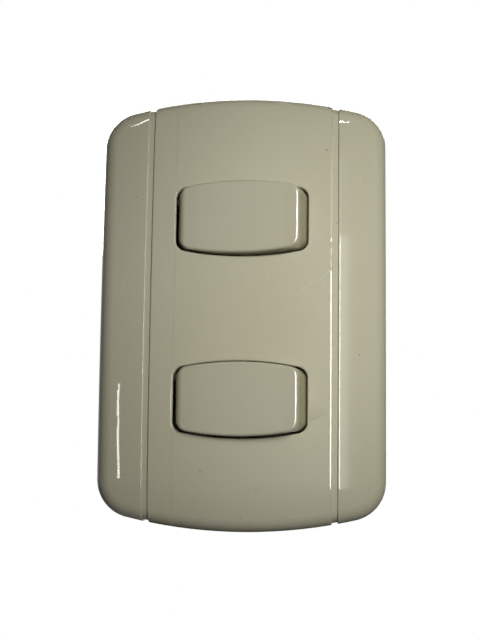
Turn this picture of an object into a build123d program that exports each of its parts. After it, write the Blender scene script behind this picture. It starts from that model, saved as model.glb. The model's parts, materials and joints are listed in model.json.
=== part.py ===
from build123d import *
import os
from math import asin, cos, degrees, radians, sin, sqrt, tan

# A double light switch for a 2 x 4 inch wall box: a moulded cover plate with two
# barrel-shaped windows, a pressed steel chassis behind it, and two rocker switch modules.
# Frame: +X right, +Z up, +Y into the wall. The origin is the middle of the plate, on the
# wall. Lengths are millimetres. "Out" is the distance in front of the wall, towards the
# person who uses the switch, so out is minus Y.

# Cover plate
plate_width = 78.6
plate_height = 120.0
plate_arch_radius = 138.0  # arched top and bottom edges
plate_corner_radius = 10.5
plate_face_out = 11.0  # the face at its middle
plate_crown_across = 260.0  # radius of the crown, seen from above
plate_crown_along = 900.0  # radius of the crown, seen from the side
plate_end_radius = 45.0  # tighter curve of the crown at the top and bottom
plate_end_length = 14.0
plate_edge_radius = 4.6
plate_wall = 2.2

groove_offset = 25.5  # from the middle of the plate to the middle of a groove
groove_width = 1.5
groove_depth = 0.5
groove_shoulder = 0.3

window_width = 36.2
window_height = 20.8
window_arch_radius = 80.0
window_corner_radius = 3.0
window_edge_radius = 0.5

rib_thickness = 1.2
side_rib_offset = 29.5
side_rib_inset = 10.0  # from the chassis' ends to the side ribs'
middle_rib_inset = 3.0  # from the chassis' sides to the middle rib's ends
rib_clearance = 1.2  # from the ribs' feet to what lies behind them

clip_offset_across = 18.0
clip_end_inset = 6.0  # from the chassis' ends
clip_width = 6.0
clip_thickness = 1.6
clip_barb = 0.7
clip_back = 2.0  # how far the clips reach behind the chassis
clip_side_gap = 0.4

# Chassis
chassis_width = 52.0
chassis_end_inset = 8.0  # from the plate's ends
chassis_thickness = 1.0
chassis_corner_radius = 5.0
chassis_flange_out = 3.2
chassis_flange_inset = 8.0  # from the chassis' ends
chassis_ear_width = 48.4
chassis_bend_radius = 1.1  # at the middle of the sheet
bead_length = 30.0
bead_width = 9.0
bead_rise = 0.8
bead_edge_radius = 0.55
box_screw_spacing = 83.3  # between the box's two screws
box_slot_width = 4.4
box_slot_length = 6.6

# Switch modules
module_spacing = 49.3  # between the middles of the two rockers
module_shift = 0.15  # of both modules, to the right of the windows' middles
module_width = 42.4
module_height = 23.8
module_wall = 1.4
module_corner_radius = 1.0
fit_clearance = 0.2  # between pieces that are pushed together
seat_gap = 0.15  # round the bearing frame's foot
catch_gap = 0.1  # between a barb and what it holds
frame_lap_end = 1.5  # how far a module's flange reaches past its body, at the ends
frame_lap_side = 0.7  # and at the sides
frame_flange_thickness = 1.2
frame_front_out = 5.5
frame_back_out = -1.4

# Rocker
rocker_tilt = 6.0  # each way from level; the left side is the pressed one
pivot_out = 6.5
pivot_radius = 1.2
pivot_clearance = 0.08
pivot_chamfer = 0.3
pivot_end_gap = 0.2  # from the trunnions' ends to the bearing frame's outer faces
bearing_width = 7.0
bearing_wrap = 0.6  # how far the bearings reach past the trunnions' middle, so these snap in
rocker_rise = 7.7  # from the pivot to the face
skirt_drop = 4.0  # from the pivot down to the skirt's lower edge
rocker_end_radius = 17.85  # of the rounded ends, about the pivot
rocker_side_gap = 0.45  # to the window above and below
rocker_corner_radius = 3.0
rocker_edge_radius = 0.8
rocker_wall = 1.6
rocker_top_wall = 1.8
socket_radius = 3.1
socket_bore_radius = 2.05
socket_mouth_drop = 9.0  # below the pivot
socket_bore_rise = 4.7
web_thickness = 1.6
web_drop = 1.0

# Spring and plunger
plunger_clearance = 0.1
plunger_head_drop = 3.7
plunger_shoulder_drop = 9.5
plunger_cone_length = 1.0
plunger_tip_drop = 14.5
plunger_nose_radius = 1.2
plunger_gap = 0.05  # to the contact bridge, with the rocker level
spring_wire_radius = 0.2
spring_radius = 1.55
spring_turns = 5
spring_gap = 0.1

# Contact bridge, which tips over a knife edge
bridge_turn_per_rocker_turn = 1.4
bridge_length = 23.0
bridge_width = 7.0
bridge_thickness = 1.2
bridge_corner_radius = 1.5
knife_radius = 0.5
knife_clearance = 0.05
tip_offset = 9.5
tip_radius = 1.5
tip_disc = 0.5
tip_dome = 0.5
tip_stem_radius = 0.7
tip_head_radius = 1.1
tip_head = 0.3
contact_gap = 0.02

# Terminals
strip_thickness = 1.0
strip_bend_radius = 0.8  # at the middle of the strip
terminal_middle_out = -14.0  # middle of the strips where they lie on the base
terminal_width = 11.0
knife_strip_width = 4.6
shelf_width = 5.4
shelf_start = 7.6
shelf_end = 11.8
shelf_step = 0.8
terminal_start = 10.6
terminal_end_gap = 0.4  # to the chamber's ends
terminal_hole_offset = 16.0
collar_radius = 2.6
collar_rise = 1.0
screw_radius = 1.65
screw_clearance = 0.05
screw_head_radius = 3.3
screw_head_height = 2.0
screw_edge_radius = 0.5
screw_tip_chamfer = 0.4
screw_slot_width = 0.9
screw_slot_depth = 1.1
screw_cross_length = 3.6
screw_tip_out = -11.5
clamp_size = 8.4
clamp_thickness = 1.0
clamp_hole_radius = 1.9
clamp_groove_offset = 2.9
clamp_groove_radius = 0.45
clamp_gap = 0.2  # from the terminal to the clamp plate, and from that to the screw's head

# Base
base_flange_thickness = 3.0
base_seat_out = -1.5
rocker_floor_out = -5.0
base_step_out = -8.0  # the housing gets lower behind this
base_step_height = 14.4
base_middle_out = -16.5
base_back_out = -23.0
chamber_width = 39.8
chamber_height = 11.2
turret_height = 12.0
turret_inner_edge = 9.4
pocket_height = 9.2
pocket_inner_edge = 10.8
post_inner_edge = 15.6  # posts that stop the rocker's skirt
post_offset = 6.4
post_gap = 0.1
peg_offset = 9.6  # pegs that stop the idle end of the contact bridge
peg_gap = 0.05
peg_width = 1.6
guide_thickness = 1.6
guide_gap = 0.15
guide_out = -6.5
cheek_width = 2.4
cheek_out = -10.4
latch_offset = 12.0
latch_width = 6.0
latch_thickness = 0.9
latch_catch_out = -6.0
latch_end_out = -7.3
latch_barb = 0.4
latch_barb_face = 0.4
latch_root = 0.5  # how far the latches reach into the frame
recess_width = 15.0
recess_height = 10.0
recess_depth = 0.5

overrun = 2.0  # how far a cutting body reaches past what it cuts
near = 0.01  # places as close as this are the same

# Worked out from the above
half_width = plate_width / 2
half_height = plate_height / 2
chassis_height = plate_height - 2 * chassis_end_inset
chassis_flange_length = chassis_height - 2 * chassis_flange_inset
side_rib_length = chassis_height - 2 * side_rib_inset
middle_rib_length = chassis_width - 2 * middle_rib_inset
clip_offset_along = chassis_height / 2 - clip_end_inset
terminal_end = chamber_width / 2 - terminal_end_gap
rocker_height = window_height - 2 * rocker_side_gap
bridge_tilt = rocker_tilt * bridge_turn_per_rocker_turn
bridge_pivot_out = pivot_out - plunger_tip_drop - plunger_gap - bridge_thickness
tip_sphere_radius = (tip_radius**2 + tip_dome**2) / (2 * tip_dome)
tip_sphere_rise = tip_sphere_radius - tip_disc - tip_dome
turn = radians(bridge_tilt)
fixed_tip_offset = tip_offset * cos(turn) + tip_sphere_rise * sin(turn)
moving_tip_low = bridge_pivot_out + tip_sphere_rise * cos(turn) - tip_offset * sin(turn) - tip_sphere_radius
fixed_tip_out = moving_tip_low - contact_gap
shelf_front_out = fixed_tip_out - tip_disc
shelf_middle_out = shelf_front_out - strip_thickness / 2
terminal_back_out = terminal_middle_out - strip_thickness / 2
clamp_front_out = terminal_back_out - clamp_gap
screw_head_out = clamp_front_out - clamp_thickness - clamp_gap
peg_out = bridge_pivot_out - (peg_offset + peg_width / 2) * tan(turn) - peg_gap
lean = radians(rocker_tilt)
skirt_end = sqrt(rocker_end_radius**2 - skirt_drop**2)
post_out = pivot_out - skirt_drop * cos(lean) - skirt_end * sin(lean) - post_gap
opening_width = module_width - 2 * module_wall
opening_height = module_height - 2 * module_wall
flange_width = module_width + 2 * frame_lap_end
flange_height = module_height + 2 * frame_lap_side

# Sketches on FRONT use X and Z and grow out of the wall. Sketches on ABOVE use X and out and
# grow downwards, those on BELOW use minus X and out and grow upwards, and those on SIDE use Z
# and out. A rocker and what turns with it are drawn level, with the pivot at the origin.
FRONT = Plane.XZ
ABOVE = Plane(origin=(0, 0, 0), x_dir=(1, 0, 0), z_dir=(0, 0, -1))
BELOW = Plane(origin=(0, 0, 0), x_dir=(-1, 0, 0), z_dir=(0, 0, 1))
SIDE = Plane(origin=(0, 0, 0), x_dir=(0, 0, 1), z_dir=(1, 0, 0))


def arched_outline(width, height, arch_radius, corner_radius=0.0):
    """A rectangle whose upper and lower edges bulge."""
    drop = arch_radius - sqrt(arch_radius**2 - (width / 2) ** 2)
    x, y = width / 2, height / 2
    with BuildSketch() as outline:
        with BuildLine():
            ThreePointArc((-x, y - drop), (0, y), (x, y - drop))
            Line((x, y - drop), (x, drop - y))
            ThreePointArc((x, drop - y), (0, -y), (-x, drop - y))
            Line((-x, drop - y), (-x, y - drop))
        make_face()
        if corner_radius:
            fillet(outline.vertices(), corner_radius)
    return outline.sketch


def plate_blank(inset):
    """The plate's outer form without grooves or windows, moved in by inset everywhere."""
    face_out = plate_face_out - inset
    axis_behind = plate_crown_across - plate_face_out
    crown_sweep = 2 * degrees(asin(half_width / axis_behind)) + overrun
    end_start = half_height - plate_end_length
    end_angle = degrees(asin(end_start / plate_crown_along))
    end_sweep = degrees(asin(plate_end_length / plate_end_radius)) + end_angle
    start = radians(-crown_sweep / 2)
    crown_plane = Plane(
        origin=(0, axis_behind, 0), x_dir=(0, 0, 1), z_dir=(cos(start), sin(start), 0)
    )
    with BuildPart() as blank:
        with BuildSketch(FRONT):
            add(
                arched_outline(
                    plate_width - 2 * inset,
                    plate_height - 2 * inset,
                    plate_arch_radius - inset,
                    plate_corner_radius - inset,
                )
            )
        extrude(amount=face_out + overrun)
        with BuildSketch(crown_plane):
            with BuildLine():
                middle = JernArc((0, axis_behind + face_out), (1, 0), plate_crown_along - inset, -end_angle)
                end = JernArc(middle @ 1, middle % 1, plate_end_radius - inset, -end_sweep)
                back = axis_behind - overrun
                Polyline(end @ 1, ((end @ 1).X, back), (0, back), middle @ 0)
            make_face()
            mirror(about=Plane.YZ)
        revolve(axis=Axis((0, axis_behind, 0), (0, 0, 1)), revolution_arc=crown_sweep, mode=Mode.INTERSECT)
        walls = blank.faces().filter_by(lambda face: abs(face.normal_at().Y) < near)
        front_edges = walls.edges().filter_by(lambda edge: edge.bounding_box().max.Y < -overrun)
        fillet(front_edges, plate_edge_radius - inset)
    return blank.part


def wall_middle_out(x, z):
    """Where the middle of the cover plate's wall is, at a place on the plate."""
    drop = x**2 / (2 * plate_crown_across) + z**2 / (2 * plate_crown_along)
    return plate_face_out - drop - plate_wall / 2


# Cover plate: a thin crowned shell with two shallow grooves that run over its whole height
with BuildPart() as cover_plate:
    add(plate_blank(0))
    with BuildSketch(FRONT):
        with Locations((-groove_offset, 0), (groove_offset, 0)):
            Rectangle(groove_width, plate_height)
    extrude(amount=plate_face_out, mode=Mode.SUBTRACT)
    groove_walls = (
        cover_plate.faces()
        .filter_by(Axis.X)
        .filter_by(lambda face: abs(face.center().X) < half_width - overrun)
    )
    shoulders = groove_walls.edges().filter_by(lambda edge: edge.bounding_box().min.Y < -near)
    fillet(shoulders, groove_shoulder)
    add(plate_blank(groove_depth))
    add(plate_blank(plate_wall), mode=Mode.SUBTRACT)

    # Windows for the rockers, with a soft front edge
    with BuildSketch(FRONT):
        with Locations((0, -module_spacing / 2), (0, module_spacing / 2)):
            add(arched_outline(window_width, window_height, window_arch_radius, window_corner_radius))
    extrude(amount=plate_face_out, mode=Mode.SUBTRACT)
    windows_top = (module_spacing + window_height) / 2
    window_edges = (
        cover_plate.edges()
        .filter_by_position(Axis.X, -window_width / 2 - near, window_width / 2 + near)
        .filter_by_position(Axis.Z, -windows_top - near, windows_top + near)
        .filter_by(lambda edge: edge.bounding_box().max.Y < plate_wall - plate_face_out - near)
    )
    fillet(window_edges, window_edge_radius)

    # Ribs on the inside: two beside the chassis and one across it, between the switches
    with BuildSketch(FRONT.offset(rib_clearance)):
        with Locations((-side_rib_offset, 0), (side_rib_offset, 0)):
            Rectangle(rib_thickness, side_rib_length)
    extrude(amount=wall_middle_out(side_rib_offset, side_rib_length / 4) - rib_clearance)
    middle_rib_out = chassis_thickness + bead_rise + rib_clearance
    with BuildSketch(FRONT.offset(middle_rib_out)):
        Rectangle(middle_rib_length, rib_thickness)
    extrude(amount=wall_middle_out(middle_rib_length / 4, 0) - middle_rib_out)

    # Four clips that snap through the chassis
    clip_outer = clip_offset_along + clip_thickness / 2
    clip_inner = clip_offset_along - clip_thickness / 2
    clip_root_out = wall_middle_out(clip_offset_across, clip_offset_along)
    with BuildSketch(SIDE.offset(-clip_offset_across), SIDE.offset(clip_offset_across)):
        with BuildLine():
            Polyline(
                (clip_inner, clip_root_out),
                (clip_inner, -clip_back),
                (clip_outer, -clip_back),
                (clip_outer + clip_barb, -clip_back / 2),
                (clip_outer + clip_barb, -catch_gap),
                (clip_outer, -catch_gap),
                (clip_outer, clip_root_out),
                close=True,
            )
        make_face()
        mirror(about=Plane.YZ)
    extrude(amount=clip_width / 2, both=True)


# Chassis: one steel pressing with turned-up long edges
with BuildPart() as mounting_chassis:
    edge_middle = (chassis_width - chassis_thickness) / 2
    with BuildSketch(ABOVE):
        with BuildLine():
            FilletPolyline(
                (-edge_middle, chassis_flange_out),
                (-edge_middle, chassis_thickness / 2),
                (edge_middle, chassis_thickness / 2),
                (edge_middle, chassis_flange_out),
                radius=chassis_bend_radius,
            )
        trace(line_width=chassis_thickness)
    extrude(amount=chassis_height, both=True)
    with BuildSketch(FRONT):
        Rectangle(chassis_width, chassis_flange_length)
        RectangleRounded(chassis_ear_width, chassis_height, chassis_corner_radius)
        with Locations((module_shift, -module_spacing / 2), (module_shift, module_spacing / 2)):
            RectangleRounded(
                module_width + 2 * fit_clearance,
                module_height + 2 * fit_clearance,
                module_corner_radius,
                mode=Mode.SUBTRACT,
            )
        with Locations((0, -box_screw_spacing / 2), (0, box_screw_spacing / 2)):
            SlotOverall(box_slot_length, box_slot_width, rotation=90, mode=Mode.SUBTRACT)
        clip_hole_inner = clip_inner - clip_barb - fit_clearance
        clip_hole_outer = clip_outer + fit_clearance
        with GridLocations(2 * clip_offset_across, clip_hole_inner + clip_hole_outer, 2, 2):
            Rectangle(
                clip_width + 2 * clip_side_gap, clip_hole_outer - clip_hole_inner, mode=Mode.SUBTRACT
            )
    extrude(amount=chassis_flange_out, mode=Mode.INTERSECT)

    # A pressed bead stiffens the bridge between the two switches
    with BuildSketch(FRONT.offset(chassis_thickness)):
        SlotOverall(bead_length, bead_width)
    extrude(amount=bead_rise)
    bead_top = mounting_chassis.faces().filter_by(Axis.Y).filter_by(
        lambda face: abs(face.center().Y + chassis_thickness + bead_rise) < near
    )
    fillet(bead_top.edges(), bead_edge_radius)
    with BuildSketch(FRONT):
        SlotOverall(bead_length - 2 * chassis_thickness, bead_width - 2 * chassis_thickness)
    extrude(amount=bead_rise, mode=Mode.SUBTRACT)


# Bearing frame: clips to the base from the front and carries the rocker's two trunnions
with BuildPart() as bearing_frame:
    with BuildSketch(FRONT.offset(frame_back_out)):
        RectangleRounded(module_width, module_height, module_corner_radius)
    extrude(amount=frame_front_out - frame_back_out)
    with BuildSketch(FRONT.offset(chassis_thickness)):
        RectangleRounded(flange_width, flange_height, module_corner_radius)
    extrude(amount=frame_flange_thickness)
    with BuildSketch(FRONT.offset(frame_back_out)):
        RectangleRounded(opening_width, opening_height, module_corner_radius)
    extrude(amount=frame_front_out - frame_back_out, mode=Mode.SUBTRACT)
    bearing_middle = (module_height - module_wall) / 2
    with BuildSketch(FRONT.offset(frame_front_out)):
        with Locations((0, -bearing_middle), (0, bearing_middle)):
            Rectangle(bearing_width, module_wall)
    extrude(amount=pivot_out + bearing_wrap - frame_front_out)
    with BuildSketch(ABOVE):
        with Locations((0, pivot_out)):
            Circle(pivot_radius + pivot_clearance)
    extrude(amount=flange_height, both=True, mode=Mode.SUBTRACT)
    latch_outer = module_height / 2
    latch_inner = latch_outer - latch_thickness
    with BuildSketch(SIDE.offset(-latch_offset), SIDE.offset(latch_offset)):
        with BuildLine():
            Polyline(
                (latch_outer, frame_back_out + latch_root),
                (latch_outer, latch_end_out),
                (latch_inner + latch_barb, latch_end_out),
                (latch_inner - latch_barb, latch_catch_out - catch_gap - latch_barb_face),
                (latch_inner - latch_barb, latch_catch_out - catch_gap),
                (latch_inner, latch_catch_out - catch_gap),
                (latch_inner, frame_back_out + latch_root),
                close=True,
            )
        make_face()
        mirror(about=Plane.YZ)
    extrude(amount=latch_width / 2, both=True)


# Base: the housing behind the chassis, with the contact chamber and the terminal pockets
with BuildPart() as base:
    with BuildSketch(FRONT):
        RectangleRounded(flange_width, flange_height, module_corner_radius)
    extrude(amount=-base_flange_thickness)
    with BuildSketch(FRONT.offset(base_step_out)):
        RectangleRounded(module_width, module_height, module_corner_radius)
    extrude(amount=-base_step_out)
    with BuildSketch(FRONT.offset(base_middle_out)):
        RectangleRounded(module_width, base_step_height, module_corner_radius)
    extrude(amount=base_step_out - base_middle_out)
    turret_width = module_width / 2 - turret_inner_edge
    turret_middle = module_width / 2 - turret_width / 2
    with BuildSketch(FRONT.offset(base_back_out)):
        with Locations((-turret_middle, 0), (turret_middle, 0)):
            RectangleRounded(turret_width, turret_height, module_corner_radius)
    extrude(amount=base_middle_out - base_back_out)

    # Seat of the bearing frame, room for the rocker, contact chamber
    with BuildSketch(FRONT.offset(base_seat_out)):
        RectangleRounded(
            module_width + 2 * seat_gap, module_height + 2 * seat_gap, module_corner_radius
        )
    extrude(amount=-base_seat_out, mode=Mode.SUBTRACT)
    with BuildSketch(FRONT.offset(rocker_floor_out)):
        RectangleRounded(opening_width, opening_height, module_corner_radius)
    extrude(amount=-rocker_floor_out, mode=Mode.SUBTRACT)
    with BuildSketch(FRONT.offset(terminal_back_out)):
        Rectangle(chamber_width, chamber_height)
    extrude(amount=-terminal_back_out, mode=Mode.SUBTRACT)

    # Terminal pockets, open behind and at the ends
    pocket_width = module_width / 2 - pocket_inner_edge + overrun
    with BuildSketch(FRONT.offset(base_back_out)):
        with Locations(
            (-pocket_inner_edge - pocket_width / 2, 0), (pocket_inner_edge + pocket_width / 2, 0)
        ):
            Rectangle(pocket_width, pocket_height)
    extrude(amount=terminal_back_out - base_back_out, mode=Mode.SUBTRACT)

    # Slots for the bearing frame's latches
    with BuildSketch(SIDE.offset(-latch_offset), SIDE.offset(latch_offset)):
        with BuildLine():
            Polyline(
                (latch_outer + fit_clearance, base_seat_out),
                (latch_outer + fit_clearance, latch_end_out - fit_clearance),
                (latch_inner - latch_barb - catch_gap, latch_end_out - fit_clearance),
                (latch_inner - latch_barb - catch_gap, latch_catch_out),
                (latch_inner - catch_gap, latch_catch_out),
                (latch_inner - catch_gap, base_seat_out),
                close=True,
            )
        make_face()
        mirror(about=Plane.YZ)
    extrude(amount=latch_width / 2 + fit_clearance, both=True, mode=Mode.SUBTRACT)

    # Posts that stop the rocker's skirt at either end
    with BuildSketch(ABOVE.offset(-post_offset), ABOVE.offset(post_offset)):
        with BuildLine():
            Polyline(
                (post_inner_edge, rocker_floor_out),
                (post_inner_edge, post_out),
                (opening_width / 2 - 2 * fit_clearance, post_out),
                (opening_width / 2 - 2 * fit_clearance, base_seat_out - fit_clearance),
                (opening_width / 2, base_seat_out - fit_clearance),
                (opening_width / 2, rocker_floor_out),
                close=True,
            )
        make_face()
        mirror(about=Plane.YZ)
    extrude(amount=rib_thickness / 2, both=True)

    # Inside the contact chamber: stop pegs, guides and supports beside the knife edge, and a
    # ledge under the fixed contact
    peg_height = peg_out - terminal_back_out
    peg_middle = knife_strip_width / 2 + fit_clearance + peg_width / 2
    with BuildSketch(FRONT.offset(terminal_back_out)):
        with Locations((-peg_offset, -peg_middle), (-peg_offset, peg_middle)):
            Rectangle(peg_width, peg_width)
    extrude(amount=peg_height)
    guide_length = chamber_height / 2 - bridge_width / 2 - guide_gap
    guide_middle = chamber_height / 2 - guide_length / 2
    with BuildSketch(FRONT.offset(terminal_back_out)):
        with Locations((0, -guide_middle), (0, guide_middle)):
            Rectangle(guide_thickness, guide_length)
    extrude(amount=guide_out - terminal_back_out)
    cheek_inner = knife_strip_width / 2 + fit_clearance
    cheek_middle = (cheek_inner + chamber_height / 2) / 2
    with BuildSketch(FRONT.offset(terminal_back_out)):
        with Locations((0, -cheek_middle), (0, cheek_middle)):
            Rectangle(cheek_width, chamber_height / 2 - cheek_inner)
    extrude(amount=cheek_out - terminal_back_out)
    ledge_length = shelf_end - shelf_start - 2 * shelf_step
    with BuildSketch(FRONT.offset(terminal_back_out)):
        with Locations((shelf_start + ledge_length / 2, 0)):
            Rectangle(ledge_length, shelf_width)
    extrude(amount=shelf_middle_out - strip_thickness / 2 - terminal_back_out)

    # A shallow bare panel on the back
    with BuildSketch(FRONT.offset(base_middle_out)):
        RectangleRounded(recess_width, recess_height, module_corner_radius)
    extrude(amount=recess_depth, mode=Mode.SUBTRACT)


def rocker_blank(inset, top_rise):
    """The rocker's form, moved in by inset. Its ends are round about the pivot."""
    with BuildPart() as blank:
        with BuildSketch(FRONT.offset(-skirt_drop)):
            add(
                arched_outline(
                    2 * rocker_end_radius + overrun,
                    rocker_height - 2 * inset,
                    window_arch_radius - rocker_side_gap - inset,
                )
            )
        extrude(amount=top_rise + skirt_drop)
        with BuildSketch(ABOVE):
            Circle(rocker_end_radius - inset)
        extrude(amount=window_height, both=True, mode=Mode.INTERSECT)
        corners = blank.edges().filter_by(lambda edge: edge.bounding_box().size.Y > top_rise)
        fillet(corners, rocker_corner_radius - inset)
    return blank.part


# Rocker: a hollow key with a socket for the spring and the plunger
with BuildPart() as rocker:
    add(rocker_blank(0, rocker_rise))
    fillet(rocker.faces().sort_by(Axis.Y)[0].edges(), rocker_edge_radius)
    ceiling_rise = rocker_rise - rocker_top_wall
    add(rocker_blank(rocker_wall, ceiling_rise), mode=Mode.SUBTRACT)
    into_ceiling = ceiling_rise + rocker_top_wall / 2
    with BuildSketch(FRONT.offset(-web_drop)):
        Rectangle(web_thickness, rocker_height - rocker_wall)
    extrude(amount=into_ceiling + web_drop)
    with BuildSketch(FRONT.offset(-socket_mouth_drop)):
        Circle(socket_radius)
    extrude(amount=into_ceiling + socket_mouth_drop)
    with BuildSketch(FRONT.offset(-socket_mouth_drop)):
        Circle(socket_bore_radius)
    extrude(amount=socket_bore_rise + socket_mouth_drop, mode=Mode.SUBTRACT)

    # Trunnions
    pivot_start = (rocker_height - rocker_wall) / 2
    pivot_end = module_height / 2 - pivot_end_gap
    with BuildSketch(ABOVE.offset(pivot_start), BELOW.offset(pivot_start)):
        Circle(pivot_radius)
    extrude(amount=pivot_end - pivot_start)
    chamfer(rocker.faces().sort_by(Axis.Z)[0].edges(), pivot_chamfer)
    chamfer(rocker.faces().sort_by(Axis.Z)[-1].edges(), pivot_chamfer)


# Plunger and spring, inside the rocker's socket
with BuildPart() as plunger:
    guide_radius = socket_bore_radius - plunger_clearance
    nose_out = -plunger_shoulder_drop - plunger_cone_length
    tip_out = plunger_nose_radius - plunger_tip_drop
    with BuildSketch(ABOVE):
        with BuildLine():
            Polyline(
                (0, tip_out - plunger_nose_radius),
                (0, -plunger_head_drop),
                (guide_radius, -plunger_head_drop),
                (guide_radius, -plunger_shoulder_drop),
                (plunger_nose_radius, nose_out),
                (plunger_nose_radius, tip_out),
            )
            RadiusArc(
                (plunger_nose_radius, tip_out), (0, tip_out - plunger_nose_radius), plunger_nose_radius
            )
        make_face()
    revolve(axis=Axis.Y)

with BuildPart() as spring:
    spring_start = spring_wire_radius - plunger_head_drop
    spring_length = socket_bore_rise - spring_gap - spring_wire_radius - spring_start
    with BuildLine():
        coil = Helix(
            spring_length / spring_turns,
            spring_length,
            spring_radius,
            center=(0, -spring_start, 0),
            direction=(0, -1, 0),
        )
    with BuildSketch(Plane(origin=coil @ 0, z_dir=coil % 0)):
        Circle(spring_wire_radius)
    sweep(path=coil)


# Contact bridge and its tip, drawn level with the knife edge at the origin
with BuildPart() as contact_bridge:
    with BuildSketch(FRONT):
        RectangleRounded(bridge_length, bridge_width, bridge_corner_radius)
        with Locations((tip_offset, 0)):
            Circle(tip_stem_radius, mode=Mode.SUBTRACT)
    extrude(amount=bridge_thickness)
    with BuildSketch(ABOVE):
        Circle(knife_radius + knife_clearance)
    extrude(amount=bridge_width, both=True, mode=Mode.SUBTRACT)

with BuildPart() as moving_tip:
    with BuildSketch(ABOVE):
        with BuildLine():
            Polyline(
                (0, -tip_disc - tip_dome),
                (0, bridge_thickness + tip_head),
                (tip_head_radius, bridge_thickness + tip_head),
                (tip_head_radius, bridge_thickness),
                (tip_stem_radius, bridge_thickness),
                (tip_stem_radius, 0),
                (tip_radius, 0),
                (tip_radius, -tip_disc),
            )
            ThreePointArc(
                (tip_radius, -tip_disc),
                (
                    tip_sphere_radius * sin(asin(tip_radius / tip_sphere_radius) / 2),
                    tip_sphere_rise - tip_sphere_radius * cos(asin(tip_radius / tip_sphere_radius) / 2),
                ),
                (0, -tip_disc - tip_dome),
            )
        make_face()
    revolve(axis=Axis.Y)

with BuildPart() as fixed_tip:
    with BuildSketch(FRONT.offset(shelf_front_out)):
        with Locations((fixed_tip_offset, 0)):
            Circle(tip_radius)
    extrude(amount=tip_disc)


def finish_terminal(side):
    """The screw's collar and hole, on the open terminal whose pocket is on this side."""
    place = (side * terminal_hole_offset, 0)
    with BuildPart() as neck:
        with BuildSketch(FRONT.offset(terminal_middle_out)):
            with Locations(place):
                Circle(collar_radius)
        extrude(amount=strip_thickness / 2 + collar_rise)
    with BuildPart() as hole:
        with BuildSketch(FRONT.offset(terminal_back_out - overrun)):
            with Locations(place):
                Circle(screw_radius + screw_clearance)
        extrude(amount=strip_thickness + collar_rise + 2 * overrun)
    return neck.part, hole.part


# The common terminal ends in the knife edge that carries the contact bridge
left_neck, left_hole = finish_terminal(-1)
right_neck, right_hole = finish_terminal(1)
with BuildPart() as common_terminal:
    with BuildSketch(ABOVE):
        with BuildLine():
            FilletPolyline(
                (0, bridge_pivot_out),
                (0, terminal_middle_out),
                (-terminal_end, terminal_middle_out),
                radius=strip_bend_radius,
            )
        trace(line_width=strip_thickness)
        with Locations((0, bridge_pivot_out)):
            Circle(knife_radius)
    extrude(amount=terminal_width / 2, both=True)
    with BuildSketch(FRONT.offset(base_back_out)):
        with Locations((0, 0)):
            Rectangle(2 * terminal_end, knife_strip_width)
        with Locations((-(terminal_start + terminal_end) / 2, 0)):
            RectangleRounded(terminal_end - terminal_start, terminal_width, bridge_corner_radius)
    extrude(amount=-base_back_out, mode=Mode.INTERSECT)
    add(left_neck)
    add(left_hole, mode=Mode.SUBTRACT)

# The switched terminal ends in a shelf with the fixed contact
with BuildPart() as switched_terminal:
    with BuildSketch(ABOVE):
        with BuildLine():
            FilletPolyline(
                (shelf_start, shelf_middle_out),
                (shelf_end, shelf_middle_out),
                (shelf_end + shelf_step, terminal_middle_out),
                (terminal_end, terminal_middle_out),
                radius=strip_bend_radius,
            )
        trace(line_width=strip_thickness)
    extrude(amount=terminal_width / 2, both=True)
    with BuildSketch(FRONT.offset(base_back_out)):
        Rectangle(2 * terminal_end, shelf_width)
        with Locations(((terminal_start + terminal_end) / 2, 0)):
            RectangleRounded(terminal_end - terminal_start, terminal_width, bridge_corner_radius)
    extrude(amount=-base_back_out, mode=Mode.INTERSECT)
    add(right_neck)
    add(right_hole, mode=Mode.SUBTRACT)

# Clamp plates behind the terminals, and their screws
with BuildPart() as clamp_plates:
    with BuildSketch(FRONT.offset(clamp_front_out)):
        with Locations((-terminal_hole_offset, 0), (terminal_hole_offset, 0)):
            RectangleRounded(clamp_size, clamp_size, bridge_corner_radius)
            Circle(clamp_hole_radius, mode=Mode.SUBTRACT)
    extrude(amount=-clamp_thickness)
    with BuildSketch(SIDE):
        with Locations((-clamp_groove_offset, clamp_front_out), (clamp_groove_offset, clamp_front_out)):
            Circle(clamp_groove_radius)
    extrude(amount=module_width, both=True, mode=Mode.SUBTRACT)

with BuildPart() as terminal_screws:
    with BuildSketch(FRONT.offset(screw_head_out)):
        with Locations((-terminal_hole_offset, 0), (terminal_hole_offset, 0)):
            Circle(screw_radius)
    extrude(amount=screw_tip_out - screw_head_out)
    with BuildSketch(FRONT.offset(screw_head_out)):
        with Locations((-terminal_hole_offset, 0), (terminal_hole_offset, 0)):
            Circle(screw_head_radius)
    extrude(amount=-screw_head_height)
    head_edges = terminal_screws.edges().filter_by(GeomType.CIRCLE).group_by(Axis.Y)[-1]
    fillet(head_edges, screw_edge_radius)
    tip_edges = terminal_screws.edges().filter_by(GeomType.CIRCLE).group_by(Axis.Y)[0]
    chamfer(tip_edges, screw_tip_chamfer)
    with BuildSketch(FRONT.offset(screw_head_out - screw_head_height)):
        with Locations((-terminal_hole_offset, 0), (terminal_hole_offset, 0)):
            Rectangle(2 * screw_head_radius, screw_slot_width)
            Rectangle(screw_slot_width, screw_cross_length)
    extrude(amount=screw_slot_depth, mode=Mode.SUBTRACT)


# Every piece goes to a file of its own, where it belongs in the switch
os.makedirs("parts", exist_ok=True)


def write(piece, name):
    piece.label = name
    export_step(piece, f"parts/{name}.step")


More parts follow.
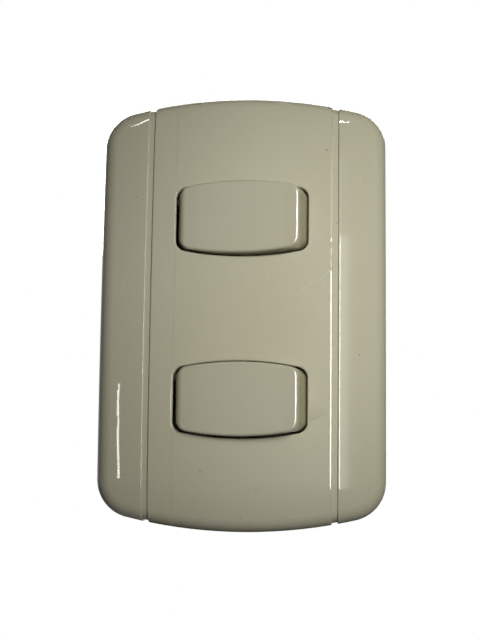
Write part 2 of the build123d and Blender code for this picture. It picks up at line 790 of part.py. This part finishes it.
write(cover_plate.part, "cover_plate")
write(mounting_chassis.part, "mounting_chassis")
fixed_place = Location((0, 0, 0))
rocker_place = Pos(0, -pivot_out, 0) * Rot(0, 0, -rocker_tilt)
bridge_place = Pos(0, -bridge_pivot_out, 0) * Rot(0, 0, bridge_tilt)
module_pieces = {
    "bearing_frame": (bearing_frame, fixed_place),
    "base": (base, fixed_place),
    "rocker": (rocker, rocker_place),
    "plunger": (plunger, rocker_place),
    "spring": (spring, rocker_place),
    "contact_bridge": (contact_bridge, bridge_place),
    "moving_tip": (moving_tip, bridge_place * Pos(tip_offset, 0, 0)),
    "fixed_tip": (fixed_tip, fixed_place),
    "common_terminal": (common_terminal, fixed_place),
    "switched_terminal": (switched_terminal, fixed_place),
    "clamp_plates": (clamp_plates, fixed_place),
    "terminal_screws": (terminal_screws, fixed_place),
}
for module, middle in (("upper", module_spacing / 2), ("lower", -module_spacing / 2)):
    for name, (piece, place) in module_pieces.items():
        write(Pos(module_shift, 0, middle) * place * piece.part, f"{module}_{name}")
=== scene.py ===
import json
import math

import bpy
from mathutils import Matrix, Quaternion, Vector

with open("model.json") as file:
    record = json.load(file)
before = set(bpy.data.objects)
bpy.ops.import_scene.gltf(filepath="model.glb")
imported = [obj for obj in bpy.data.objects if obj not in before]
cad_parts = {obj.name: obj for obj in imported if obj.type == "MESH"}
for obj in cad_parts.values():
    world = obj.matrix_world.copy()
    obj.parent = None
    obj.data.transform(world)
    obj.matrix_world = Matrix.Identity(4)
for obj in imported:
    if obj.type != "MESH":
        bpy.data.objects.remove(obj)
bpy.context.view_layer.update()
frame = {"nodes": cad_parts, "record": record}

nodes = frame["nodes"]
MM = 0.001

# Colours as they are seen, from 0 to 255
PLATE_COLOUR = (178, 176, 158)
PLATE_AGED_COLOUR = (174, 171, 151)
ROCKER_COLOUR = (176, 174, 157)
ROCKER_AGED_COLOUR = (172, 169, 150)
# Painted shade that darkens the rockers' ends
END_SHADE_COLOUR = (128, 122, 92)
SCRATCH_COLOUR = (214, 212, 190)
SPECK_COLOUR = (66, 56, 40)
MODULE_COLOUR = (205, 203, 192)
PLUNGER_COLOUR = (222, 220, 210)
ZINC_COLOUR = (176, 178, 176)
PLATED_COLOUR = (192, 191, 186)
SPRING_COLOUR = (150, 150, 148)
BRASS_COLOUR = (206, 172, 96)
COPPER_COLOUR = (200, 138, 96)
SILVER_COLOUR = (214, 213, 208)
DAYLIGHT_COLOUR = (255, 253, 246)
SKY_COLOUR = (250, 250, 246)
FLOOR_COLOUR = (238, 238, 236)
FLOOR_PALER_COLOUR = (244, 244, 242)
WHITE = (1.0, 1.0, 1.0, 1.0)  # as shaders take it

# The plastics
PLASTIC_IOR = 1.5
BODY_SPECULAR = 0.01  # next to none, because the body's own gloss shows the mesh's triangles
COAT_ROUGHNESS = 0.02
MATTE_DARKENING = 0.93
END_SHADE_FADE = 1.2  # millimetres over which the painted shade on the rockers' ends comes in
# The share of the painted shade's colour at the rockers' ends
END_SHADE_SHARE = 0.75
SCRATCH_SHARE = 0.35
SCRATCH_ROUGHENING = 0.25
SPECK_SHARE = 0.5
HAIRLINE_ANGLES = (18, 64, -37, -72)


def linear(colour, alpha=1.0):
    """A seen colour, 0 to 255, as the linear colour that shaders take."""
    seen = [channel / 255 for channel in colour]
    return [c / 12.92 if c <= 0.04045 else ((c + 0.055) / 1.055) ** 2.4 for c in seen] + [alpha]


# Shader building: a node's inputs are given by name, as a value or as another node's output
def add_node(tree, kind, inputs=(), **settings):
    node = tree.nodes.new(kind)
    for name, value in settings.items():
        setattr(node, name, value)
    for key, value in dict(inputs).items():
        socket = node.inputs[key]
        if isinstance(value, bpy.types.NodeSocket):
            tree.links.new(value, socket)
        else:
            socket.default_value = value
    return node


def start_material(name):
    """A material with its Principled shader, and the object's own coordinates in millimetres."""
    material = bpy.data.materials.new(name)
    material.use_nodes = True
    tree = material.node_tree
    shader = tree.nodes["Principled BSDF"]
    coordinates = add_node(tree, "ShaderNodeTexCoord").outputs["Object"]
    millimetres = add_node(
        tree, "ShaderNodeVectorMath", {0: coordinates, "Scale": 1 / MM}, operation="SCALE"
    ).outputs["Vector"]
    return material, tree, shader, millimetres


def noise(tree, vector, scale, detail=2.0, roughness=0.5):
    return add_node(
        tree,
        "ShaderNodeTexNoise",
        {"Vector": vector, "Scale": scale, "Detail": detail, "Roughness": roughness},
    ).outputs["Fac"]


def ramp(tree, value, low, high, to_low=0.0, to_high=1.0):
    """A value's range from low to high, spread smoothly over another range."""
    return add_node(
        tree,
        "ShaderNodeMapRange",
        {"Value": value, "From Min": low, "From Max": high, "To Min": to_low, "To Max": to_high},
        interpolation_type="SMOOTHSTEP",
    ).outputs["Result"]


def combine(tree, operation, first, second):
    return add_node(tree, "ShaderNodeMath", {0: first, 1: second}, operation=operation).outputs["Value"]


def mix_colour(tree, factor, first, second):
    node = add_node(tree, "ShaderNodeMix", data_type="RGBA")
    for socket, value in ((node.inputs[0], factor), (node.inputs[6], first), (node.inputs[7], second)):
        if isinstance(value, bpy.types.NodeSocket):
            tree.links.new(value, socket)
        else:
            socket.default_value = value
    return node.outputs[2]


def bump(tree, height, strength, distance, normal=None):
    inputs = {"Height": height, "Strength": strength, "Distance": distance}
    if normal is not None:
        inputs["Normal"] = normal
    return add_node(tree, "ShaderNodeBump", inputs).outputs["Normal"]


def streaks(tree, millimetres, angle, across, along, low, high):
    """Thin straight streaks in the plane of the plate's face, turned by an angle in degrees."""
    turned = add_node(
        tree,
        "ShaderNodeMapping",
        {
            "Vector": millimetres,
            "Rotation": (0.0, math.radians(angle), 0.0),
            "Scale": (across, 0.05, along),
        },
    ).outputs["Vector"]
    return ramp(tree, noise(tree, turned, 1.0, detail=3.0, roughness=0.6), low, high)


def hairlines(tree, millimetres):
    """The fine scratches that wiping leaves, sparse and in several directions."""
    total = None
    for angle in HAIRLINE_ANGLES:
        lines = streaks(tree, millimetres, angle, 3.2, 0.09, 0.70, 0.76)
        total = lines if total is None else combine(tree, "MAXIMUM", total, lines)
    patches = ramp(tree, noise(tree, millimetres, 0.06, detail=2.0), 0.45, 0.65)
    return combine(tree, "MULTIPLY", total, patches)


def marked_lines(tree, millimetres, lines):
    """Scratches or specks, each a line from one place on the face to another and half its width."""
    flat = add_node(
        tree, "ShaderNodeVectorMath", {0: millimetres, 1: (1.0, 0.0, 1.0)}, operation="MULTIPLY"
    ).outputs["Vector"]
    total = None
    for (x1, z1), (x2, z2), width in lines:
        start, run = Vector((x1, 0.0, z1)), Vector((x2 - x1, 0.0, z2 - z1))
        from_start = add_node(
            tree, "ShaderNodeVectorMath", {0: flat, 1: start}, operation="SUBTRACT"
        ).outputs["Vector"]
        along = add_node(
            tree,
            "ShaderNodeVectorMath",
            {0: from_start, 1: run / run.length_squared},
            operation="DOT_PRODUCT",
        ).outputs["Value"]
        along = add_node(tree, "ShaderNodeClamp", {"Value": along}).outputs["Result"]
        nearest = add_node(
            tree, "ShaderNodeVectorMath", {0: run, "Scale": along}, operation="SCALE"
        ).outputs["Vector"]
        distance = add_node(
            tree, "ShaderNodeVectorMath", {0: from_start, 1: nearest}, operation="DISTANCE"
        ).outputs["Value"]
        line = ramp(tree, distance, 0.0, width, 1.0, 0.0)
        total = line if total is None else combine(tree, "MAXIMUM", total, line)
    return total


def shine_across(tree, across, shares):
    """The share of sharp polish, from the left to the right: places and their shares."""
    total = shares[0][1]
    for (start, before), (end, after) in zip(shares, shares[1:]):
        if after != before:
            total = combine(tree, "ADD", total, ramp(tree, across, start, end, 0.0, after - before))
    return total


def glossy_plastic(name, colour, aged, shine, scratches=(), specks=(), shaded_from=None):
    """Moulded ivory plastic that has yellowed a little, with wiped hairlines and specks of dirt, and
    painted shade at its ends where that is asked for.
    """
    material, tree, shader, millimetres = start_material(name)
    aging = ramp(tree, noise(tree, millimetres, 0.02, detail=1.0), 0.3, 0.7, 0.1, 0.9)
    mottle = ramp(tree, noise(tree, millimetres, 0.5, detail=4.0), 0.35, 0.65, -0.06, 0.06)
    base = mix_colour(tree, combine(tree, "ADD", aging, mottle), linear(colour), linear(aged))
    across = add_node(tree, "ShaderNodeSeparateXYZ", {"Vector": millimetres}).outputs["X"]
    if shaded_from is not None:
        # Painted shade: a rocker's ends, down along the window, are darkened to an olive tone as if in
        # shadow
        from_middle = combine(tree, "ABSOLUTE", across, 0.0)
        end_shade = ramp(tree, from_middle, shaded_from, shaded_from + END_SHADE_FADE, 0.0, END_SHADE_SHARE)
        base = mix_colour(tree, end_shade, base, linear(END_SHADE_COLOUR))
    marks = hairlines(tree, millimetres)
    if scratches:
        marks = combine(tree, "MAXIMUM", marks, marked_lines(tree, millimetres, scratches))
    scratched = combine(tree, "MULTIPLY", marks, SCRATCH_SHARE)
    base = mix_colour(tree, scratched, base, linear(SCRATCH_COLOUR))
    dirt = ramp(tree, noise(tree, millimetres, 1.3, detail=0.0), 0.86, 0.9)
    if specks:
        dirt = combine(tree, "MAXIMUM", dirt, marked_lines(tree, millimetres, specks))
    specked = combine(tree, "MULTIPLY", dirt, SPECK_SHARE)
    base = mix_colour(tree, specked, base, linear(SPECK_COLOUR))
    tree.links.new(base, shader.inputs["Base Color"])
    haze = ramp(tree, noise(tree, millimetres, 0.08, detail=4.0), 0.35, 0.7, 0.15, 0.19)
    roughened = combine(tree, "MULTIPLY", marks, SCRATCH_ROUGHENING)
    tree.links.new(combine(tree, "ADD", haze, roughened), shader.inputs["Roughness"])
    shader.inputs["IOR"].default_value = PLASTIC_IOR
    shader.inputs["Specular IOR Level"].default_value = BODY_SPECULAR
    tree.links.new(shine_across(tree, across, shine), shader.inputs["Coat Weight"])
    shader.inputs["Coat Roughness"].default_value = COAT_ROUGHNESS
    ripple = bump(tree, noise(tree, millimetres, 0.12, detail=1.0), 0.2, 0.000008)
    grain = bump(tree, noise(tree, millimetres, 9.0, detail=3.0), 0.06, 0.00002, ripple)
    tree.links.new(bump(tree, marks, -0.15, 0.00002, grain), shader.inputs["Normal"])
    return material


def matte_plastic(name, colour):
    """Spark-eroded engineering plastic, as hidden housings have."""
    material, tree, shader, millimetres = start_material(name)
    shade = ramp(tree, noise(tree, millimetres, 0.12, detail=4.0), 0.3, 0.7)
    darker = [channel * MATTE_DARKENING for channel in colour]
    tree.links.new(mix_colour(tree, shade, linear(colour), linear(darker)), shader.inputs["Base Color"])
    texture = noise(tree, millimetres, 5.0, detail=4.0, roughness=0.7)
    tree.links.new(ramp(tree, texture, 0.3, 0.7, 0.48, 0.66), shader.inputs["Roughness"])
    shader.inputs["IOR"].default_value = PLASTIC_IOR
    tree.links.new(bump(tree, texture, 0.35, 0.00006), shader.inputs["Normal"])
    return material


def pressed_metal(name, colour, grain_angle=0.0, roughness=0.32, tarnish=0.2):
    """Rolled and pressed metal: grain along one direction, a little tarnish and handling marks."""
    material, tree, shader, millimetres = start_material(name)
    tarnished = [channel * (1 - tarnish) for channel in colour]
    patches = ramp(tree, noise(tree, millimetres, 0.25, detail=5.0, roughness=0.65), 0.35, 0.75)
    grain = streaks(tree, millimetres, grain_angle, 4.0, 0.15, 0.2, 0.8)
    base = mix_colour(tree, combine(tree, "MULTIPLY", patches, 0.7), linear(colour), linear(tarnished))
    tree.links.new(base, shader.inputs["Base Color"])
    shader.inputs["Metallic"].default_value = 1.0
    finish = combine(tree, "MULTIPLY", grain, 0.16)
    tree.links.new(
        combine(tree, "ADD", ramp(tree, patches, 0.0, 1.0, roughness, roughness + 0.12), finish),
        shader.inputs["Roughness"],
    )
    tree.links.new(bump(tree, grain, 0.12, 0.00002), shader.inputs["Normal"])
    return material


# Marks in the photograph, as places on the face in millimetres: start, end and half width
PLATE_SCRATCHES = (
    ((15.9, 4.6), (20.2, 7.9), 0.14),
    ((20.6, 7.4), (24.0, 10.6), 0.16),
    ((17.4, 2.8), (21.0, 5.4), 0.08),
    ((31.8, 36.6), (33.2, 33.0), 0.12),
    ((19.4, 37.2), (22.2, 38.0), 0.10),
    ((-19.2, 33.0), (-16.8, 40.1), 0.08),
    ((-2.0, 55.2), (1.6, 53.4), 0.12),
    ((-16.4, -38.6), (-11.8, -41.8), 0.10),
)
PLATE_SPECKS = (((22.9, 44.2), (23.1, 44.1), 0.42),)
ROCKER_SHADED_FROM = 15.2  # millimetres from the middle of a rocker, where its painted shade begins
# The share of sharp polish, as places across the face in millimetres. It is kept to bands, because
# a sharp reflection over the whole face shows the triangles of its mesh. The left strip, the
# windows' left edges and the right groove's shoulders have it, and the rest has next to none.
PLATE_SHINE = (
    (-24.4, 1.0),
    (-24.2, 0.0),
    (-18.7, 0.0),
    (-18.6, 1.0),
    (-17.9, 1.0),
    (-17.8, 0.0),
    (24.1, 0.0),
    (24.2, 1.0),
    (24.6, 1.0),
    (24.75, 0.0),
    (26.25, 0.0),
    (26.35, 1.0),
    (26.75, 1.0),
    (26.9, 0.15),
    (30.5, 0.0),
)
# The rockers have it at their ends. In the middle it makes a glint in the gap below them.
ROCKER_SHINE = ((-13.0, 1.0), (-11.0, 0.0), (11.0, 0.0), (13.0, 1.0))

slot_materials = {
    "plate_plastic": glossy_plastic(
        "aged_ivory_plate",
        PLATE_COLOUR,
        PLATE_AGED_COLOUR,
        PLATE_SHINE,
        PLATE_SCRATCHES,
        PLATE_SPECKS,
    ),
    "rocker_plastic": glossy_plastic(
        "aged_ivory_rocker",
        ROCKER_COLOUR,
        ROCKER_AGED_COLOUR,
        ROCKER_SHINE,
        shaded_from=ROCKER_SHADED_FROM,
    ),
    "module_plastic": matte_plastic("housing_plastic", MODULE_COLOUR),
    "plunger_plastic": matte_plastic("plunger_plastic", PLUNGER_COLOUR),
    "zinc_steel": pressed_metal("zinc_plated_steel", ZINC_COLOUR, 0.0, 0.34, 0.15),
    "plated_steel": pressed_metal("plated_screw_steel", PLATED_COLOUR, 30.0, 0.26, 0.12),
    "spring_steel": pressed_metal("spring_wire", SPRING_COLOUR, 90.0, 0.24, 0.1),
    "terminal_brass": pressed_metal("rolled_brass", BRASS_COLOUR, 90.0, 0.26, 0.25),
    "contact_copper": pressed_metal("rolled_copper", COPPER_COLOUR, 90.0, 0.28, 0.3),
    "contact_silver": pressed_metal("contact_silver", SILVER_COLOUR, 45.0, 0.3, 0.1),
}
for subpart in frame["record"]["subparts"]:
    piece = nodes[subpart["node"]]
    piece.data.materials.clear()
    piece.data.materials.append(slot_materials[subpart["material_slot"]])


# Camera: where the photograph was taken from, a little below the plate and to its right
PHOTO_HEIGHT = 640
CAMERA_AZIMUTH = -4.05
CAMERA_ELEVATION = -7.1
CAMERA_DISTANCE = 0.33
CAMERA_ROLL = 0.74
CAMERA_FOCAL_PIXELS = 1214
CAMERA_TARGET = Vector((-0.000336, -0.008, -0.00292))

azimuth, elevation, roll = (
    math.radians(angle) for angle in (CAMERA_AZIMUTH, CAMERA_ELEVATION, CAMERA_ROLL)
)
forward = Vector(
    (math.sin(azimuth) * math.cos(elevation), math.cos(azimuth) * math.cos(elevation), -math.sin(elevation))
)
level_right = forward.cross(Vector((0, 0, 1))).normalized()
level_up = level_right.cross(forward)
right = level_right * math.cos(roll) + level_up * math.sin(roll)
up = level_up * math.cos(roll) - level_right * math.sin(roll)
lens = bpy.data.cameras.new("camera")
lens.sensor_width = 36.0
lens.lens = CAMERA_FOCAL_PIXELS / PHOTO_HEIGHT * lens.sensor_width
camera = bpy.data.objects.new("camera", lens)
bpy.context.scene.collection.objects.link(camera)
camera.matrix_world = Matrix.Translation(CAMERA_TARGET - forward * CAMERA_DISTANCE) @ Matrix(
    (right, up, -forward)
).transposed().to_4x4()
bpy.context.scene.camera = camera


# Light: a soft key lamp in front and to the right, which the gloss doesn't show, windows and small
# lamps that only the gloss shows, each placed for a highlight of the photograph, and soft lamps
# behind for the other sides
def soft_light(
    name,
    direction,
    distance,
    size,
    strength,
    aim=(0.0, 0.0, 0.0),
    spread=180.0,
    lean=0.0,
    diffuse=True,
    glossy=True,
    only_for=(),
):
    """A soft light that points at the plate. Its direction is an azimuth, 0 in front and 90 at
    the right, and an elevation, in degrees. Its beam is aimed at a point and is as wide as its
    spread. It leans by an angle, to the right of the plate."""
    data = bpy.data.lights.new(name, "AREA")
    data.shape = "RECTANGLE"
    data.size, data.size_y = size
    data.energy = strength
    data.spread = math.radians(spread)
    data.color = linear(DAYLIGHT_COLOUR)[:3]
    light = bpy.data.objects.new(name, data)
    bpy.context.scene.collection.objects.link(light)
    a, e = (math.radians(angle) for angle in direction)
    away = Vector((math.sin(a) * math.cos(e), -math.cos(a) * math.cos(e), math.sin(e)))
    light.location = away * distance
    facing = (light.location - Vector(aim)).to_track_quat("Z", "Y")
    leaning = Quaternion((0.0, 0.0, 1.0), math.radians(-lean))
    light.rotation_euler = (facing @ leaning).to_euler()
    light.visible_diffuse = diffuse
    light.visible_glossy = glossy
    if only_for:
        receivers = bpy.data.collections.new(name + "_receivers")
        for piece in only_for:
            receivers.objects.link(piece)
        light.light_linking.receiver_collection = receivers


rockers = (nodes["upper_rocker"], nodes["lower_rocker"])
soft_light("key", (22, 10), 0.3, (0.06, 0.14), 0.087, (0.014, 0.0, 0.004), 52.0, glossy=False)
soft_light("front_window", (11.95, 0.15), 1.2, (0.203, 0.605), 7.0, diffuse=False)
soft_light("upper_window", (12.65, 17.9), 1.2, (0.174, 0.15), 0.2, diffuse=False)
soft_light("rocker_window", (30, 7), 1.2, (0.15, 0.92), 55.0, diffuse=False, only_for=rockers)
soft_light("side_window", (42, 8), 1.2, (0.5, 0.8), 6.9, diffuse=False)
soft_light("left_window", (-25.3, -3.75), 1.3, (0.007, 0.198), 0.075, diffuse=False)
soft_light("left_lamp", (-26.3, 38.6), 1.3, (0.006, 0.116), 0.048, lean=23.0, diffuse=False)
soft_light("right_lamp", (16.4, 39.5), 1.3, (0.040, 0.023), 0.5, diffuse=False)
soft_light("back_right", (172, 35), 1.2, (0.6, 0.6), 8.0)
soft_light("back_left", (-160, 25), 1.2, (0.6, 0.6), 6.0)

# White surroundings for what the camera sees. What lights the plate is dim in front, where the
# lamps are, and bright behind it.
FRONT_STRENGTH = 0.04
BACK_STRENGTH = 0.35
FRONT_GLOSS = 0.05
BACK_GLOSS = 0.35
FRONT_UNTIL = 0.2  # of the sky's Y direction
BACK_FROM = 0.8
world = bpy.data.worlds.new("surroundings")
bpy.context.scene.world = world
world.use_nodes = True
sky = world.node_tree
sky.nodes.clear()
ahead = add_node(
    sky,
    "ShaderNodeSeparateXYZ",
    {"Vector": add_node(sky, "ShaderNodeTexCoord").outputs["Generated"]},
).outputs["Y"]
rays = add_node(sky, "ShaderNodeLightPath")
seen = combine(sky, "MAXIMUM", rays.outputs["Is Camera Ray"], rays.outputs["Is Transmission Ray"])
mirrored = ramp(sky, ahead, FRONT_UNTIL, BACK_FROM, FRONT_GLOSS, BACK_GLOSS)
gloss = combine(sky, "MULTIPLY", rays.outputs["Is Glossy Ray"], mirrored)
ambient = add_node(
    sky,
    "ShaderNodeBackground",
    {
        "Color": linear(SKY_COLOUR),
        "Strength": ramp(sky, ahead, FRONT_UNTIL, BACK_FROM, FRONT_STRENGTH, BACK_STRENGTH),
    },
)
white = add_node(sky, "ShaderNodeBackground", {"Color": WHITE, "Strength": 1.0})
shown = add_node(
    sky,
    "ShaderNodeMixShader",
    {0: combine(sky, "MAXIMUM", seen, gloss), 1: ambient.outputs[0], 2: white.outputs[0]},
)
add_node(sky, "ShaderNodeOutputWorld", {"Surface": shown.outputs[0]})

# A pale floor below the plate, which hangs as it does on its wall
FLOOR_DROP = 1.1
FLOOR_HALF_SIZE = 6.0
FLOOR_WHITENING = 0.9
FLOOR_ROUGHNESS = 0.9
floor_mesh = bpy.data.meshes.new("floor")
corners = [
    (x * FLOOR_HALF_SIZE, y * FLOOR_HALF_SIZE, -FLOOR_DROP)
    for x, y in ((-1, -1), (1, -1), (1, 1), (-1, 1))
]
floor_mesh.from_pydata(corners, [], [(0, 1, 2, 3)])
floor = bpy.data.objects.new("floor", floor_mesh)
bpy.context.scene.collection.objects.link(floor)
floor_material, floor_tree, floor_shader, floor_mm = start_material("pale_floor")
paper = ramp(floor_tree, noise(floor_tree, floor_mm, 0.4, detail=4.0), 0.3, 0.7)
floor_tree.links.new(
    mix_colour(floor_tree, paper, linear(FLOOR_COLOUR), linear(FLOOR_PALER_COLOUR)),
    floor_shader.inputs["Base Color"],
)
floor_shader.inputs["Roughness"].default_value = FLOOR_ROUGHNESS
floor_rays = add_node(floor_tree, "ShaderNodeLightPath")
whitened = combine(floor_tree, "MULTIPLY", floor_rays.outputs["Is Camera Ray"], FLOOR_WHITENING)
glow = add_node(floor_tree, "ShaderNodeEmission", {"Color": WHITE, "Strength": 1.0})
floor_shown = add_node(
    floor_tree, "ShaderNodeMixShader", {0: whitened, 1: floor_shader.outputs[0], 2: glow.outputs[0]}
)
floor_tree.links.new(floor_shown.outputs[0], floor_tree.nodes["Material Output"].inputs["Surface"])
floor.data.materials.append(floor_material)
floor.visible_diffuse = False  # its bounce would brighten the plate's lower edges

bpy.context.scene.view_settings.view_transform = "Standard"
